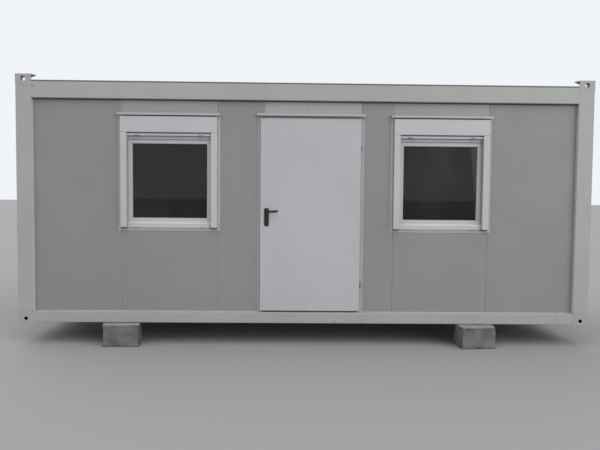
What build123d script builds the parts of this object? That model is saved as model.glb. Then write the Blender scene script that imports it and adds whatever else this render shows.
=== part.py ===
from build123d import *
import math
import os

# Sanitary container of the standard 20-foot size, standing on four concrete blocks.
# All sizes are in millimetres. X runs along the length, the front wall with the door faces -Y,
# Z points up, and the origin is on the ground at the centre of the footprint.
# Heights named *_height, *_top and *_bottom of the container count from its lower edge.
# Depths count inwards from the outer face of the steel frame.

# Steel frame
length = 6055.0
width = 2435.0
height = 2591.0
post_width = 163.0
post_sheet = 4.0
rail_sheet = 4.0
fold_radius = 8.0
bottom_rail_height = 115.0
bottom_rail_foot = 60.0
bottom_rail_lip = 20.0
top_rail_height = 168.0
top_rail_drop = 77.0
top_rail_lip = 20.0
rail_ledge = 110.0
drain_hole_x = 316.0
drain_hole_height = 17.0
drain_hole_radius = 8.0
top_rail_top = height - top_rail_drop
top_rail_bottom = top_rail_top - top_rail_height

# Corner fittings
fitting_plate = 8.0
top_fitting_height = 110.0
top_plate_sheet = 10.0
top_plate_reach = 24.0
top_plate_cut = 70.0
stacking_hole_radius = 38.0
stacking_hole_inset = 78.0
top_hole_radius = 26.0
top_hole_inset = 80.0
top_hole_drop = 48.0
bottom_hole_radius = 20.0
bottom_hole_inset = 82.0
bottom_hole_height = 39.0

# Walls of insulated panels
wall_depth = 45.0
panel_thickness = 60.0
panel_lap = 94.0
panel_top = top_rail_bottom + panel_lap
panel_joint = 0.5
panel_bevel_width = 11.0
panel_bevel_depth = 4.0
tongue_length = 14.0
tongue_root = 20.0
tongue_taper = 3.0
tongue_clearance = 0.4
back_panel_count = 6
end_panel_count = 2

# Door
door_frame_left = -516.5
door_frame_right = 608.5
door_frame_drop = 166.0
door_frame_top = top_rail_bottom - door_frame_drop
door_frame_front = 43.0
door_frame_rebate = 76.0
door_leaf_left = -486.5
door_leaf_right = 568.5
door_leaf_bottom = 133.0
door_leaf_drop = 18.0
door_leaf_top = door_frame_top - door_leaf_drop
door_leaf_front = 18.0
door_flange_thickness = 20.0
door_leaf_thickness = 50.0
door_flange_lap = 20.0
door_gap = 8.0
door_stop = 15.0
threshold_thickness = 6.0
header_joint_left = -446.0
header_joint_middle = -5.0
header_joint_right = 575.0

# Hinges, each a lower half with its pin on the frame and an upper half on the leaf
hinge_offset = 13.5
hinge_depth = 20.0
hinge_radius = 8.5
hinge_half_length = 25.0
hinge_slit = 1.0
hinge_pin_radius = 5.0
hinge_pin_length = 20.0
hinge_pin_clearance = 0.15
hinge_lug_width = 14.0
hinge_lug_thickness = 8.0
hinge_low = 303.0
hinge_drop = 313.0
hinge_heights = (bottom_rail_height + hinge_low, door_frame_top - hinge_drop)

# Door handle
handle_x = -420.5
handle_height = 1185.0
handle_plate_width = 50.0
handle_plate_height = 190.0
handle_plate_thickness = 8.0
handle_plate_drop = 59.0
handle_plate_radius = 7.0
handle_neck_radius = 8.0
handle_neck_clearance = 0.3
handle_standoff = 42.0
lever_length = 137.0
lever_height = 24.0
lever_thickness = 11.0
lever_edge_radius = 3.0
lock_drop = 72.0
lock_radius = 8.5
lock_web_width = 10.0
lock_web_length = 22.0
lock_projection = 3.0

# Windows, with a roller shutter in a box above and guides on both sides
window_centres = (-1447.0, 1424.5)
window_width = 1010.0
window_height = 1029.0
window_sill_height = 31.0
window_sill_depth = 42.0
window_sill_groove = 4.0
window_frame_depth = 48.0
window_frame_thickness = 62.0
window_apron_depth = 35.0
window_apron_height = 44.0
window_apron_slope = 8.0
sash_width = 874.0
sash_height = 871.0
sash_drop = 70.0
sash_gap = 3.0
sash_depth = 62.0
sash_flange_lap = 11.0
sash_flange_thickness = 12.0
sash_face = 47.0
sash_front_lip = 18.0
sash_bevel_angle = 20.0
glass_thickness = 24.0
glass_rebate = 12.0
glass_clearance = 0.3
seat_gap = 0.3
shutter_box_drop = 176.0
shutter_box_height = 167.0
shutter_box_depth = 3.0
shutter_box_radius = 6.0
shutter_slot_width = 16.0
shutter_slot_height = 30.0
shutter_slot_depth = 16.0
guide_width = 65.0
guide_depth = 2.0
guide_rise = 36.0
guide_groove_depth = 25.0
guide_edge_radius = 4.0
slat_drop = 35.0
slat_height = 24.0
slat_thickness = 11.0

# Drip strips over the windows and the door
drip_height = 31.0
drip_sheet = 2.0
drip_slope = 10.0
drip_gap = 12.0
window_drip_overhang = 30.0
window_drip_depth = -6.0
door_drip_overhang = 8.0
door_drip_depth = 2.0
door_drip_gap = 9.0

# Floor
underside_sheet = 3.0
floor_top = 121.0
floor_thickness = 22.0
cross_member_width = 45.0
cross_member_sheet = 4.0
cross_member_count = 9
floor_edge_gap = 2.0

# Roof
ceiling_thickness = 12.0
ceiling_inset = 60.0
roof_sheet_thickness = 1.5
roof_edge_inset = 12.0
roof_camber = 25.0
roof_rib_pitch = 250.0
roof_rib_height = 12.0
roof_rib_crown = 30.0
roof_rib_foot = 60.0
trim_height = 17.0
trim_sheet = 2.0
trim_inset = 8.0
trim_cover = 30.0

# Concrete blocks
block_width = 365.0
block_depth = 240.0
block_height = 235.0
block_chamfer = 7.0
right_block_x = 1819.5
right_block_reach = 135.0
right_block_yaw = 6.0
left_block_x = -1926.0
left_block_reach = 105.0
left_block_yaw = 4.0

# Derived places
half_length = length / 2
half_width = width / 2
base = block_height
wall_back = wall_depth + panel_thickness
clear_half_length = half_length - post_width
clear_half_width = half_width - post_width
wall_half = {"front": clear_half_length, "back": clear_half_length,
             "left": clear_half_width, "right": clear_half_width}
panel_bottom = bottom_rail_height
cut_past = tongue_length + panel_joint
shutter_box_top = top_rail_bottom - shutter_box_drop
window_head = shutter_box_top - shutter_box_height
window_bottom = window_head - window_height
guide_bottom = window_bottom + guide_rise
slat_bottom = window_head - slat_drop
sash_top = window_head - sash_drop
sash_bottom = sash_top - sash_height
sash_centre_height = (sash_bottom + sash_top) / 2
handle_plate_centre = handle_height - handle_plate_drop

# One plane for each side, on the ground at the middle of the frame's outer face.
# Its x runs along the wall, its y points inwards and its z points up.
wall_planes = {
    "front": Plane(origin=(0, -half_width, 0), x_dir=(1, 0, 0), z_dir=(0, 0, 1)),
    "back": Plane(origin=(0, half_width, 0), x_dir=(-1, 0, 0), z_dir=(0, 0, 1)),
    "left": Plane(origin=(-half_length, 0, 0), x_dir=(0, -1, 0), z_dir=(0, 0, 1)),
    "right": Plane(origin=(half_length, 0, 0), x_dir=(0, 1, 0), z_dir=(0, 0, 1)),
}
corners = {
    "front_left": ("front", -1),
    "front_right": ("front", 1),
    "back_right": ("back", -1),
    "back_left": ("back", 1),
}

os.makedirs("parts", exist_ok=True)


def save(part, name):
    """Label a finished piece and write it to its file."""
    part.label = name
    export_step(part, "parts/" + name + ".step")


def plan_plane(side, level):
    """Horizontal plane of a side, at a height above the container's lower edge."""
    return wall_planes[side].offset(base + level)


def section_plane(side, start):
    """Upright plane across a side: x is the depth, y the height, and z runs along the wall."""
    wall = wall_planes[side]
    origin = wall.origin + wall.x_dir * start + Vector(0, 0, base)
    return Plane(origin=origin, x_dir=wall.y_dir, z_dir=wall.x_dir)


def elevation_plane(side, depth):
    """Upright plane along a side: x runs along the wall, y is the height, and z points outwards."""
    wall = wall_planes[side]
    origin = wall.origin + wall.y_dir * depth + Vector(0, 0, base)
    return Plane(origin=origin, x_dir=wall.x_dir, z_dir=-wall.y_dir)


def rectangle(x0, x1, y0, y1, mode=Mode.ADD):
    """Rectangle between two pairs of coordinates of the sketch."""
    with Locations(((x0 + x1) / 2, (y0 + y1) / 2)):
        Rectangle(x1 - x0, y1 - y0, mode=mode)


def outline(points):
    """Filled outline through the given points of the sketch."""
    Polygon(*points, align=None)


def slab(side, x0, x1, z0, z1, front, back, mode=Mode.ADD):
    """Upright slab of a side between two depths."""
    with BuildSketch(elevation_plane(side, back)) as section:
        rectangle(x0, x1, z0, z1)
    extrude(section.sketch, amount=back - front, mode=mode)


def corner_outline(sign, points):
    """Outline given by distances from the container's outer corner."""
    outline([(sign * (half_length - along), inward) for along, inward in points])


def post_points(clearance=0.0):
    """L-shaped outline of a corner post, whose inner corner lines up with the walls' inner faces."""
    edge = post_width + clearance
    inner = wall_back + clearance
    return [(0, 0), (edge, 0), (edge, inner), (inner, inner), (inner, edge), (0, edge)]


# Corner posts, folded and hollow
for name, (side, sign) in corners.items():
    with BuildPart() as corner_post:
        with BuildSketch(plan_plane(side, bottom_rail_height)) as section:
            corner_outline(sign, post_points())
            outer_corner = section.vertices().sort_by_distance((sign * half_length, 0))[0]
            fillet(outer_corner, fold_radius)
            offset(amount=-post_sheet, mode=Mode.SUBTRACT)
        extrude(amount=height - top_fitting_height - bottom_rail_height)
    save(corner_post.part, "corner_post_" + name)

# Bottom corner fittings: welded boxes, open towards the rails, with a hole in the long face
with BuildPart() as bottom_corner_fittings:
    for side, sign in corners.values():
        inner = post_width - fitting_plate
        with BuildSketch(plan_plane(side, 0)):
            corner_outline(sign, [(0, 0), (post_width, 0), (post_width, post_width), (0, post_width)])
        extrude(amount=bottom_rail_height)
        with BuildSketch(plan_plane(side, fitting_plate)):
            corner_outline(sign, [(fitting_plate, fitting_plate), (post_width, fitting_plate),
                                  (post_width, post_width), (fitting_plate, post_width)])
        extrude(amount=bottom_rail_height - 2 * fitting_plate, mode=Mode.SUBTRACT)
        with BuildSketch(elevation_plane(side, fitting_plate)):
            with Locations((sign * (half_length - bottom_hole_inset), bottom_hole_height)):
                Circle(bottom_hole_radius)
        extrude(amount=fitting_plate, mode=Mode.SUBTRACT)
save(bottom_corner_fittings.part, "bottom_corner_fittings")

# Top corner fittings: a foot on the post, two upright plates, and a stacking plate on top
top_fitting_bottom = height - top_fitting_height
top_plate_far = post_width + top_plate_reach
top_plate_points = [
    (0, 0), (post_width, 0), (top_plate_far, top_plate_cut), (top_plate_cut, top_plate_far),
    (0, post_width),
]
with BuildPart() as top_corner_fittings:
    for side, sign in corners.values():
        with BuildSketch(plan_plane(side, top_fitting_bottom)):
            corner_outline(sign, post_points())
        extrude(amount=fitting_plate)
        with BuildSketch(plan_plane(side, top_fitting_bottom)):
            corner_outline(sign, [(0, 0), (post_width, 0), (post_width, fitting_plate),
                                  (fitting_plate, fitting_plate), (fitting_plate, post_width),
                                  (0, post_width)])
        extrude(amount=top_fitting_height)
        with BuildSketch(plan_plane(side, height - top_plate_sheet)):
            corner_outline(sign, top_plate_points)
            with Locations((sign * (half_length - stacking_hole_inset), stacking_hole_inset)):
                Circle(stacking_hole_radius, mode=Mode.SUBTRACT)
        extrude(amount=top_plate_sheet)
        with BuildSketch(elevation_plane(side, fitting_plate)):
            with Locations((sign * (half_length - top_hole_inset), height - top_hole_drop)):
                Circle(top_hole_radius)
        extrude(amount=fitting_plate, mode=Mode.SUBTRACT)
save(top_corner_fittings.part, "top_corner_fittings")

# Bottom rails: C-sections whose upper flange is the ledge that the walls stand on
bottom_rail_points = [
    (0, 0), (bottom_rail_foot, 0), (bottom_rail_foot, bottom_rail_lip),
    (bottom_rail_foot - rail_sheet, bottom_rail_lip), (bottom_rail_foot - rail_sheet, rail_sheet),
    (rail_sheet, rail_sheet), (rail_sheet, bottom_rail_height - rail_sheet),
    (rail_ledge - rail_sheet, bottom_rail_height - rail_sheet),
    (rail_ledge - rail_sheet, bottom_rail_height - bottom_rail_lip),
    (rail_ledge, bottom_rail_height - bottom_rail_lip), (rail_ledge, bottom_rail_height),
    (0, bottom_rail_height),
]
# Top rails: the lower flange closes the rail up to the walls, the upper one carries the roof
top_rail_foot = wall_depth - seat_gap
top_rail_points = [
    (0, top_rail_bottom), (top_rail_foot, top_rail_bottom),
    (top_rail_foot, top_rail_bottom + rail_sheet), (rail_sheet, top_rail_bottom + rail_sheet),
    (rail_sheet, top_rail_top - rail_sheet), (rail_ledge - rail_sheet, top_rail_top - rail_sheet),
    (rail_ledge - rail_sheet, top_rail_top - top_rail_lip), (rail_ledge, top_rail_top - top_rail_lip),
    (rail_ledge, top_rail_top), (0, top_rail_top),
]
for level, points in (("bottom", bottom_rail_points), ("top", top_rail_points)):
    for position, sides in (("long", ("front", "back")), ("end", ("left", "right"))):
        with BuildPart() as rails:
            for side in sides:
                half = wall_half[side]
                with BuildSketch(section_plane(side, -half)) as section:
                    outline(points)
                    fillet(section.vertices().group_by(Axis.X)[0], fold_radius)
                extrude(amount=2 * half)
            if (level, position) == ("bottom", "long"):
                with BuildSketch(elevation_plane("front", rail_sheet)):
                    with Locations((drain_hole_x, drain_hole_height)):
                        Circle(drain_hole_radius)
                extrude(amount=rail_sheet, mode=Mode.SUBTRACT)
        save(rails.part, level + "_" + position + "_rails")


def panel_points(start, end, grooved, tongued):
    """Plan outline of a wall panel, with a bevelled tongue-and-groove joint where it meets another."""
    left = start + panel_joint / 2
    right = end - panel_joint / 2
    middle = wall_depth + panel_thickness / 2
    root = tongue_root / 2
    mouth = root + tongue_clearance
    points = [(left, wall_back)]
    if grooved:
        points += [(left, middle + mouth),
                   (left + tongue_length + tongue_clearance, middle + mouth - tongue_taper),
                   (left + tongue_length + tongue_clearance, middle - mouth + tongue_taper),
                   (left, middle - mouth), (left, wall_depth + panel_bevel_depth),
                   (left + panel_bevel_width, wall_depth)]
    else:
        points += [(left, wall_depth)]
    if tongued:
        points += [(right - panel_bevel_width, wall_depth), (right, wall_depth + panel_bevel_depth),
                   (right, middle - root), (right + tongue_length, middle - root + tongue_taper),
                   (right + tongue_length, middle + root - tongue_taper), (right, middle + root)]
    else:
        points += [(right, wall_depth)]
    return points + [(right, wall_back)]


def panel(side, start, end, bottom, top, grooved, tongued):
    """One upright wall panel."""
    with BuildSketch(plan_plane(side, bottom)) as section:
        outline(panel_points(start, end, grooved, tongued))
    extrude(section.sketch, amount=top - bottom)


def clear_window(edge):
    """Cut a panel's tongue away beside the window that starts at this edge."""
    start = edge - panel_joint / 2
    slab("front", start, start + cut_past, window_bottom, shutter_box_top,
         wall_depth, wall_back, mode=Mode.SUBTRACT)


# Front wall: a plain panel at each corner, and a parapet and a lintel at each window
window_left, window_right = window_centres
left_module = (window_left - window_width / 2, window_left + window_width / 2)
right_module = (window_right - window_width / 2, window_right + window_width / 2)
front_runs = {
    "front_panel_left": (-clear_half_length, left_module[0], panel_bottom, panel_top, False, True),
    "front_parapet_left": (*left_module, panel_bottom, window_bottom, True, True),
    "front_lintel_left": (*left_module, shutter_box_top, panel_top, True, True),
    "front_parapet_right": (*right_module, panel_bottom, window_bottom, True, True),
    "front_lintel_right": (*right_module, shutter_box_top, panel_top, True, True),
    "front_panel_right": (right_module[1], clear_half_length, panel_bottom, panel_top, True, False),
}
for name, run in front_runs.items():
    with BuildPart() as front_piece:
        panel("front", *run)
        if name == "front_panel_left":
            clear_window(left_module[0])
    save(front_piece.part, name)

# Panels beside the door, cut out around the door frame
beside_door = {
    "front_panel_beside_door_left": (left_module[1], header_joint_left,
                                     door_frame_left - panel_joint / 2, header_joint_left + cut_past),
    "front_panel_beside_door_right": (header_joint_right, right_module[0],
                                      header_joint_right - cut_past, door_frame_right + panel_joint / 2),
}
for name, (start, end, cut_start, cut_end) in beside_door.items():
    with BuildPart() as beside_panel:
        panel("front", start, end, panel_bottom, panel_top, True, True)
        slab("front", cut_start, cut_end, panel_bottom, door_frame_top + panel_joint / 2,
             wall_depth, wall_back, mode=Mode.SUBTRACT)
        if name == "front_panel_beside_door_right":
            clear_window(right_module[0])
    save(beside_panel.part, name)

# Header over the door, in two pieces
header_runs = {
    "door_header_left": (header_joint_left, header_joint_middle),
    "door_header_right": (header_joint_middle, header_joint_right),
}
for name, (start, end) in header_runs.items():
    with BuildPart() as header:
        panel("front", start, end, door_frame_top + panel_joint / 2, panel_top, True, True)
    save(header.part, name)

# Back and end walls, each a row of equal panels
plain_walls = {
    "back_wall_panels": ("back", back_panel_count),
    "left_end_panels": ("left", end_panel_count),
    "right_end_panels": ("right", end_panel_count),
}
for name, (side, count) in plain_walls.items():
    half = wall_half[side]
    pitch = 2 * half / count
    with BuildPart() as wall:
        for index in range(count):
            panel(side, index * pitch - half, (index + 1) * pitch - half, panel_bottom, panel_top,
                  index > 0, index < count - 1)
    save(wall.part, name)

# Window frames: a ring whose lower member projects between the guides, and a sill strip below it
frame_back = window_frame_depth + window_frame_thickness
opening_half = sash_width / 2 + sash_gap
with BuildPart() as window_frames:
    for centre in window_centres:
        half = window_width / 2 - panel_joint / 2
        sill_top = window_bottom + window_sill_height
        slab("front", centre - half, centre + half, sill_top, window_head, window_frame_depth, frame_back)
        slab("front", centre - opening_half, centre + opening_half, sash_bottom - sash_gap,
             sash_top + sash_gap, window_frame_depth, frame_back, mode=Mode.SUBTRACT)
        slab("front", centre - half, centre + half, window_bottom, sill_top, window_frame_depth, frame_back)
        slab("front", centre - half, centre + half, window_bottom, sill_top - window_sill_groove,
             window_sill_depth, window_frame_depth)
        apron_top = sill_top + window_apron_height
        apron_half = window_width / 2 - guide_width - seat_gap
        with BuildSketch(section_plane("front", centre - apron_half)):
            outline([(window_frame_depth, sill_top), (window_apron_depth, sill_top),
                     (window_apron_depth, apron_top),
                     (window_frame_depth, apron_top + window_apron_slope)])
        extrude(amount=2 * apron_half)
save(window_frames.part, "window_frames")

# Sashes: a ring with a flange behind the frame, and a groove that holds the pane
flange_front = frame_back + seat_gap
pane_front = sash_depth + sash_front_lip
pane_back = pane_front + glass_thickness + glass_clearance
with BuildPart() as window_sashes:
    for centre in window_centres:
        half = sash_width / 2
        light = half - sash_face
        pane = light + glass_rebate + glass_clearance
        wing = half + sash_flange_lap
        rise = sash_height / 2 - half
        centre_height = sash_centre_height
        slab("front", centre - half, centre + half, sash_bottom, sash_top, sash_depth, flange_front)
        slab("front", centre - wing, centre + wing, sash_bottom - sash_flange_lap,
             sash_top + sash_flange_lap, flange_front, flange_front + sash_flange_thickness)
        slab("front", centre - pane, centre + pane, centre_height - pane - rise,
             centre_height + pane + rise, pane_front, pane_back, mode=Mode.SUBTRACT)
        slab("front", centre - light, centre + light, centre_height - light - rise,
             centre_height + light + rise, pane_front, flange_front + sash_flange_thickness,
             mode=Mode.SUBTRACT)
        with BuildSketch(elevation_plane("front", pane_front)):
            rectangle(centre - light, centre + light, centre_height - light - rise,
                      centre_height + light + rise)
        extrude(amount=sash_front_lip, taper=-sash_bevel_angle, mode=Mode.SUBTRACT)
save(window_sashes.part, "window_sashes")

# Panes of insulating glass
with BuildPart() as window_glass:
    for centre in window_centres:
        half = sash_width / 2 - sash_face + glass_rebate
        rise = sash_height / 2 - sash_width / 2
        slab("front", centre - half, centre + half, sash_centre_height - half - rise,
             sash_centre_height + half + rise, pane_front, pane_front + glass_thickness)
save(window_glass.part, "window_glass")

# Shutter boxes, with the slot that the shutter comes out of
with BuildPart() as shutter_boxes:
    for centre in window_centres:
        half = window_width / 2 - panel_joint / 2
        box_top = shutter_box_top - panel_joint / 2
        slot_back = shutter_slot_depth + shutter_slot_width
        with BuildSketch(section_plane("front", centre - half)) as section:
            rectangle(shutter_box_depth, wall_back, window_head, box_top)
            fillet(section.vertices().group_by(Axis.X)[0], shutter_box_radius)
            rectangle(shutter_slot_depth, slot_back, window_head, window_head + shutter_slot_height,
                      mode=Mode.SUBTRACT)
        extrude(amount=2 * half)
save(shutter_boxes.part, "shutter_boxes")

# Shutter guides: channels on both sides of the window, open towards it
guide_back = window_frame_depth - seat_gap
guide_inner = window_width / 2 - guide_width
groove_middle = shutter_slot_depth + shutter_slot_width / 2
with BuildPart() as shutter_guides:
    for centre in window_centres:
        for sign in (-1, 1):
            edge = centre + sign * (window_width / 2 - panel_joint / 2)
            face = centre + sign * guide_inner
            floor = centre + sign * (guide_inner + guide_groove_depth)
            with BuildSketch(plan_plane("front", guide_bottom)) as section:
                rectangle(min(edge, face), max(edge, face), guide_depth, guide_back)
                fillet(section.vertices().group_by(Axis.Y)[0], guide_edge_radius)
                rectangle(min(face, floor), max(face, floor), shutter_slot_depth,
                          shutter_slot_depth + shutter_slot_width, mode=Mode.SUBTRACT)
            extrude(amount=window_head - seat_gap - guide_bottom)
save(shutter_guides.part, "shutter_guides")

# Bottom slats of the raised shutters, held in the guides below the box
slat_end = guide_inner + guide_groove_depth - 2 * seat_gap
with BuildPart() as shutter_bottom_slats:
    for centre in window_centres:
        with BuildSketch(section_plane("front", centre - slat_end)):
            with Locations((groove_middle, slat_bottom + slat_height / 2)):
                RectangleRounded(slat_thickness, slat_height, slat_thickness / 3)
        extrude(amount=2 * slat_end)
save(shutter_bottom_slats.part, "shutter_bottom_slats")


def drip_strip(start, end, bottom, reach):
    """Folded strip that slopes out from the wall and turns down at its front edge."""
    top = bottom + drip_height
    with BuildSketch(section_plane("front", start)) as section:
        outline([(wall_depth, top), (reach, top - drip_slope), (reach, bottom),
                 (reach + drip_sheet, bottom), (reach + drip_sheet, top - drip_slope - drip_sheet),
                 (wall_depth - drip_sheet, top - 2 * drip_sheet), (wall_depth - drip_sheet, bottom),
                 (wall_depth, bottom)])
    extrude(section.sketch, amount=end - start)


# Drip strips over both windows and the door
with BuildPart() as drip_strips:
    for centre in window_centres:
        half = window_width / 2 + window_drip_overhang
        drip_strip(centre - half, centre + half, shutter_box_top + drip_gap, window_drip_depth)
    drip_strip(door_frame_left - door_drip_overhang, door_frame_right + door_drip_overhang,
               door_frame_top + door_drip_gap, door_drip_depth)
save(drip_strips.part, "drip_strips")

# Door frame: a stepped surround with a threshold plate
body_left = door_leaf_left + door_flange_lap
body_right = door_leaf_right - door_flange_lap
body_top = door_leaf_top - door_flange_lap
reveal_left = body_left - door_gap
reveal_right = body_right + door_gap
reveal_top = body_top + door_gap
threshold_top = bottom_rail_height + threshold_thickness
with BuildPart() as door_frame:
    slab("front", door_frame_left, door_frame_right, bottom_rail_height, door_frame_top,
         door_frame_front, wall_back)
    slab("front", reveal_left, reveal_right, threshold_top, reveal_top,
         door_frame_front, wall_back, mode=Mode.SUBTRACT)
    slab("front", reveal_left, reveal_left + door_stop, bottom_rail_height, reveal_top,
         door_frame_rebate, wall_back)
    slab("front", reveal_right - door_stop, reveal_right, bottom_rail_height, reveal_top,
         door_frame_rebate, wall_back)
    slab("front", reveal_left, reveal_right, reveal_top - door_stop, reveal_top,
         door_frame_rebate, wall_back)
save(door_frame.part, "door_frame")

# Door leaf: a thick body behind a flange that laps over the frame
flange_back = door_leaf_front + door_flange_thickness
leaf_back = door_leaf_front + door_leaf_thickness
with BuildPart() as door_leaf:
    slab("front", door_leaf_left, door_leaf_right, door_leaf_bottom, door_leaf_top,
         door_leaf_front, flange_back)
    slab("front", body_left, body_right, door_leaf_bottom, body_top, flange_back, leaf_back)
    with BuildSketch(elevation_plane("front", leaf_back)):
        with Locations((handle_x, handle_height)):
            Circle(handle_neck_radius + handle_neck_clearance)
    extrude(amount=door_leaf_thickness, mode=Mode.SUBTRACT)
save(door_leaf.part, "door_leaf")

# Hinges
hinge_x = door_leaf_right + hinge_offset


def knuckle(bottom, radius, amount, mode=Mode.ADD):
    """Upright cylinder on the hinge axis."""
    with BuildSketch(plan_plane("front", bottom)) as section:
        with Locations((hinge_x, hinge_depth)):
            Circle(radius)
    extrude(section.sketch, amount=amount, mode=mode)


with BuildPart() as hinge_frame_halves:
    for middle in hinge_heights:
        low = middle - hinge_slit / 2 - hinge_half_length
        with BuildSketch(plan_plane("front", low)):
            rectangle(hinge_x - hinge_lug_width / 2, hinge_x + hinge_lug_width / 2,
                      hinge_depth, door_frame_front)
        extrude(amount=hinge_half_length)
        knuckle(low, hinge_radius, hinge_half_length)
        knuckle(middle - hinge_slit / 2, hinge_pin_radius, hinge_slit + hinge_pin_length)
save(hinge_frame_halves.part, "hinge_frame_halves")

with BuildPart() as hinge_leaf_halves:
    for middle in hinge_heights:
        low = middle + hinge_slit / 2
        with BuildSketch(plan_plane("front", low)):
            rectangle(door_leaf_right, hinge_x, door_leaf_front, door_leaf_front + hinge_lug_thickness)
        extrude(amount=hinge_half_length)
        knuckle(low, hinge_radius, hinge_half_length)
        knuckle(low, hinge_pin_radius + hinge_pin_clearance,
                hinge_pin_length + hinge_slit, mode=Mode.SUBTRACT)
save(hinge_leaf_halves.part, "hinge_leaf_halves")

# Handle plates, one on each face of the leaf, with the lock cylinder's boss
plate_fronts = (door_leaf_front - handle_plate_thickness, leaf_back)
with BuildPart() as handle_plates:
    for front in plate_fronts:
        outer = front == plate_fronts[0]
        back = front + handle_plate_thickness
        lock_back = back if outer else back + lock_projection
        with BuildSketch(elevation_plane("front", back)):
            with Locations((handle_x, handle_plate_centre)):
                RectangleRounded(handle_plate_width, handle_plate_height, handle_plate_radius)
            with Locations((handle_x, handle_height)):
                Circle(handle_neck_radius + handle_neck_clearance, mode=Mode.SUBTRACT)
        extrude(amount=handle_plate_thickness)
        with BuildSketch(elevation_plane("front", lock_back)):
            with Locations((handle_x, handle_height - lock_drop)):
                Circle(lock_radius)
            with Locations((handle_x, handle_height - lock_drop - lock_web_length / 2)):
                SlotOverall(lock_web_length, lock_web_width, rotation=90)
        extrude(amount=handle_plate_thickness + lock_projection)
save(handle_plates.part, "handle_plates")

# Lever handle: a lever on each side of the leaf, joined by the neck that turns in the plates
outer_lever_front = door_leaf_front - handle_standoff - lever_thickness
inner_lever_back = leaf_back + handle_standoff + lever_thickness
lever_middle = handle_x + lever_length / 2 - lever_height / 2
with BuildPart() as door_lever:
    for back in (outer_lever_front + lever_thickness, inner_lever_back):
        with BuildSketch(elevation_plane("front", back)):
            with Locations((lever_middle, handle_height)):
                SlotOverall(lever_length, lever_height)
        extrude(amount=lever_thickness)
    lever_faces = door_lever.faces().filter_by(Axis.Y).sort_by(Axis.Y)
    fillet(lever_faces[0].edges() + lever_faces[-1].edges(), lever_edge_radius)
    with BuildSketch(elevation_plane("front", inner_lever_back - lever_thickness / 2)):
        with Locations((handle_x, handle_height)):
            Circle(handle_neck_radius)
    extrude(amount=inner_lever_back - outer_lever_front - lever_thickness)
save(door_lever.part, "door_lever")

# Floor: underside sheet on the rails' lips, cross members, and the deck
lip_inset = bottom_rail_foot - 2 * rail_sheet
corner_clear = post_width + floor_edge_gap
with BuildPart() as floor_underside_sheet:
    with BuildSketch(Plane.XY.offset(base + bottom_rail_lip)):
        Rectangle(length - 2 * lip_inset, width - 2 * lip_inset)
        with GridLocations(length, width, 2, 2):
            Rectangle(2 * corner_clear, 2 * corner_clear, mode=Mode.SUBTRACT)
    extrude(amount=underside_sheet)
save(floor_underside_sheet.part, "floor_underside_sheet")

member_bottom = bottom_rail_lip + underside_sheet
member_height = floor_top - floor_thickness - member_bottom
member_half = half_width - rail_ledge - floor_edge_gap
member_span = length - 2 * corner_clear - cross_member_width
with BuildPart() as floor_cross_members:
    for index in range(cross_member_count):
        middle = (index / (cross_member_count - 1) - 0.5) * member_span
        with BuildSketch(Plane.XZ.offset(-member_half)):
            low = base + member_bottom
            rectangle(middle - cross_member_width / 2, middle + cross_member_width / 2,
                      low, low + member_height)
            rectangle(middle - cross_member_width / 2 + cross_member_sheet,
                      middle + cross_member_width / 2, low + cross_member_sheet,
                      low + member_height - cross_member_sheet, mode=Mode.SUBTRACT)
        extrude(amount=2 * member_half)
save(floor_cross_members.part, "floor_cross_members")

deck_inset = rail_ledge + floor_edge_gap
with BuildPart() as floor_deck:
    with BuildSketch(Plane.XY.offset(base + floor_top - floor_thickness)):
        Rectangle(length - 2 * deck_inset, width - 2 * deck_inset)
        with GridLocations(length, width, 2, 2):
            Rectangle(2 * corner_clear, 2 * corner_clear, mode=Mode.SUBTRACT)
    extrude(amount=floor_thickness)
save(floor_deck.part, "floor_deck")

# Ceiling, lying on the walls and cut out around the posts
with BuildPart() as ceiling_panel:
    with BuildSketch(Plane.XY.offset(base + panel_top)):
        Rectangle(length - 2 * ceiling_inset, width - 2 * ceiling_inset)
    extrude(amount=ceiling_thickness)
    for side, sign in corners.values():
        with BuildSketch(plan_plane(side, panel_top)):
            corner_outline(sign, post_points(seat_gap))
        extrude(amount=ceiling_thickness, mode=Mode.SUBTRACT)
save(ceiling_panel.part, "ceiling_panel")


def rib_points(half_span):
    """Points along the top of the ribbed roof sheet, from end to end."""
    count = int(2 * half_span // roof_rib_pitch)
    points = [(-half_span, 0)]
    for index in range(count):
        middle = (index - (count - 1) / 2) * roof_rib_pitch
        points += [(middle - roof_rib_foot / 2, 0), (middle - roof_rib_crown / 2, roof_rib_height),
                   (middle + roof_rib_crown / 2, roof_rib_height), (middle + roof_rib_foot / 2, 0)]
    return points + [(half_span, 0)]


# Roof sheet: ribs run across the container and fall from the middle to both long sides
roof_half_length = half_length - roof_edge_inset
roof_half_width = half_width - roof_edge_inset
roof_level = base + top_rail_top
top_line = [(x, z + roof_sheet_thickness) for x, z in rib_points(roof_half_length)]
low_line = list(reversed(rib_points(roof_half_length)))
fall = Vector(0, roof_half_width, roof_camber)
with BuildPart() as roof_sheet:
    with BuildSketch(Plane(origin=(0, -roof_half_width, roof_level), x_dir=(1, 0, 0), z_dir=(0, -1, 0))):
        outline(top_line + low_line)
    extrude(amount=fall.length, dir=fall)
    mirror(about=Plane.XZ)
    with BuildSketch(Plane.XY.offset(roof_level - roof_camber)):
        with GridLocations(length, width, 2, 2):
            Rectangle(2 * corner_clear, 2 * corner_clear)
    extrude(amount=3 * roof_camber, mode=Mode.SUBTRACT)
save(roof_sheet.part, "roof_sheet")

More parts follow.
